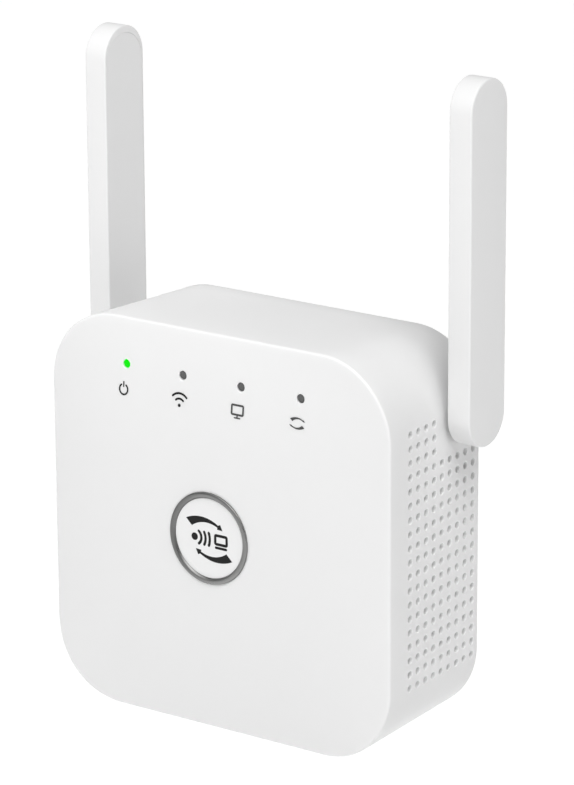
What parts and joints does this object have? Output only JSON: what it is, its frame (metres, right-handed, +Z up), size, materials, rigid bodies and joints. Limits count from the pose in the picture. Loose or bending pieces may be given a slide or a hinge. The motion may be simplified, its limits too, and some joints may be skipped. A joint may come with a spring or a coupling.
{
  "type": "wifi range extender",
  "caption": "Plug-in wifi range extender: a domed white case with vented sides, two turning paddle antennas, a ringed pairing button and status lights.",
  "frame": {"origin": "middle of the flat back of the case, the face that lies against the mains outlet, midway between the plug blades", "axes": "+X to the right seen from the front, +Y out of the back towards the outlet, +Z up along the antennas; the front faces -Y"},
  "size_m": [0.0902, 0.0518, 0.1299],
  "materials": {
    "white_case": "fine satin white ABS",
    "satin_ring": "satin plated, bevelled edges",
    "lit_green": "light window lit green",
    "unlit_grey": "smoked light window, unlit",
    "board_green": "solder mask",
    "led_white": "clear",
    "black_package": "moulded epoxy",
    "plunger_plastic": "smooth",
    "tinned_steel": "tinned",
    "gold_contact": "gold plated",
    "ferrite": "ground ferrite",
    "coil_tape": "yellow tape",
    "capacitor_sleeve": "shrink sleeve",
    "resistor_coat": "lacquer",
    "disc_coat": "epoxy dip",
    "blade_brass": "nickel plated brass",
    "screw_steel": "zinc plated",
    "radiator_brass": "stamped strip",
    "cable_jacket": "coaxial cable jacket",
    "spring_steel": "spring steel",
    "ring_rubber": "friction ring"
  },
  "bodies": {
    "case": {"board_link_header": "black_package", "board_link_pins": "gold_contact", "board_screws": "screw_steel", "bridge_rectifier": "black_package", "button_trim_ring": "satin_ring", "case_lead_left": "cable_jacket", "case_lead_right": "cable_jacket", "case_screws": "screw_steel", "controller_chip": "black_package", "crystal": "tinned_steel", "filter_inductor": "ferrite", "flash_chip": "black_package", "friction_ring_left": "ring_rubber", "friction_ring_right": "ring_rubber", "front_housing": "white_case", "fuse_resistor": "resistor_coat", "input_capacitors": "capacitor_sleeve", "light_pipe_network": "unlit_grey", "light_pipe_pairing": "unlit_grey", "light_pipe_power": "lit_green", "light_pipe_wifi": "unlit_grey", "main_board": "board_green", "network_jack_contacts": "gold_contact", "network_jack_housing": "black_package", "network_jack_shield": "tinned_steel", "network_transformer": "black_package", "output_capacitor": "capacitor_sleeve", "output_diode": "black_package", "pairing_switch_body": "black_package", "plug_blades": "blade_brass", "power_board": "board_green", "power_board_screws": "screw_steel", "rear_cover": "white_case", "reset_switch_body": "black_package", "safety_capacitor": "disc_coat", "shield_can": "tinned_steel", "status_leds": "led_white", "transformer_coil": "coil_tape", "transformer_core": "ferrite", "wifi_chip": "black_package"},
    "antenna_left": {"antenna_shell_left": "white_case", "antenna_cover_left": "white_case", "antenna_radiator_left": "radiator_brass", "antenna_lead_left": "cable_jacket", "pivot_retainer_left": "spring_steel"},
    "antenna_right": {"antenna_shell_right": "white_case", "antenna_cover_right": "white_case", "antenna_radiator_right": "radiator_brass", "antenna_lead_right": "cable_jacket", "pivot_retainer_right": "spring_steel"},
    "pairing_key": {"pairing_button": "white_case"},
    "pairing_plunger": {"pairing_switch_plunger": "plunger_plastic"},
    "reset_plunger": {"reset_switch_plunger": "plunger_plastic"}
  },
  "joints": [
    {"name": "antenna_left_pivot", "type": "hinge", "parent": "case", "child": "antenna_left", "pos_m": [-0.0392, -0.0075, 0.0254], "axis": [1, 0, 0], "range_deg": [0, 180]},
    {"name": "antenna_right_pivot", "type": "hinge", "parent": "case", "child": "antenna_right", "pos_m": [0.0392, -0.0075, 0.0254], "axis": [1, 0, 0], "range_deg": [0, 180]},
    {"name": "pairing_button_press", "type": "slide", "parent": "case", "child": "pairing_key", "axis": [0, 1, 0], "range_m": [0, 0.00025], "stiffness_N_per_m": 6000, "springref_m": -0.00005},
    {"name": "pairing_switch_press", "type": "slide", "parent": "case", "child": "pairing_plunger", "axis": [0, 1, 0], "range_m": [0, 0.00025]},
    {"name": "reset_switch_press", "type": "slide", "parent": "case", "child": "reset_plunger", "axis": [0, 0, 1], "range_m": [0, 0.00025], "stiffness_N_per_m": 6000, "springref_m": -0.00005}
  ],
  "couplings": [
    {"joint": "pairing_switch_press", "follows": "pairing_button_press", "ratio": 1}
  ]
}
